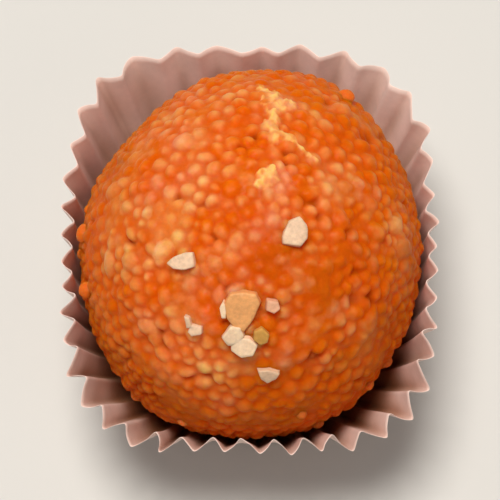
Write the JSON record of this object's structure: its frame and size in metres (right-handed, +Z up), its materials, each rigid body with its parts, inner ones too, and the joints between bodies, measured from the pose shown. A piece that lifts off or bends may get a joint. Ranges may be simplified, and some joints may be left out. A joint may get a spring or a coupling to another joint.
{
  "type": "motichoor ladoo in a paper case",
  "caption": "Round orange sweet of fine fried boondi pearls with chopped nuts on top, sitting in a pleated paper case with a rounded-square rim.",
  "frame": {"origin": "middle of the underside of the paper case, on the surface that it stands on", "axes": "+Z up, +X to the right and +Y away from the viewer of the picture; the rim is longer along Y"},
  "size_m": [0.0459, 0.0526, 0.0423],
  "materials": {
    "boondi": "moist orange fried pearls, soaked in syrup, with a soft broken gloss",
    "nut": "dull cream chopped nut with a little green pistachio",
    "paper": "thin matt greyish white paper, slightly translucent"
  },
  "bodies": {
    "root": {"ladoo": "boondi", "paper_case": "paper"}
  },
  "joints": []
}
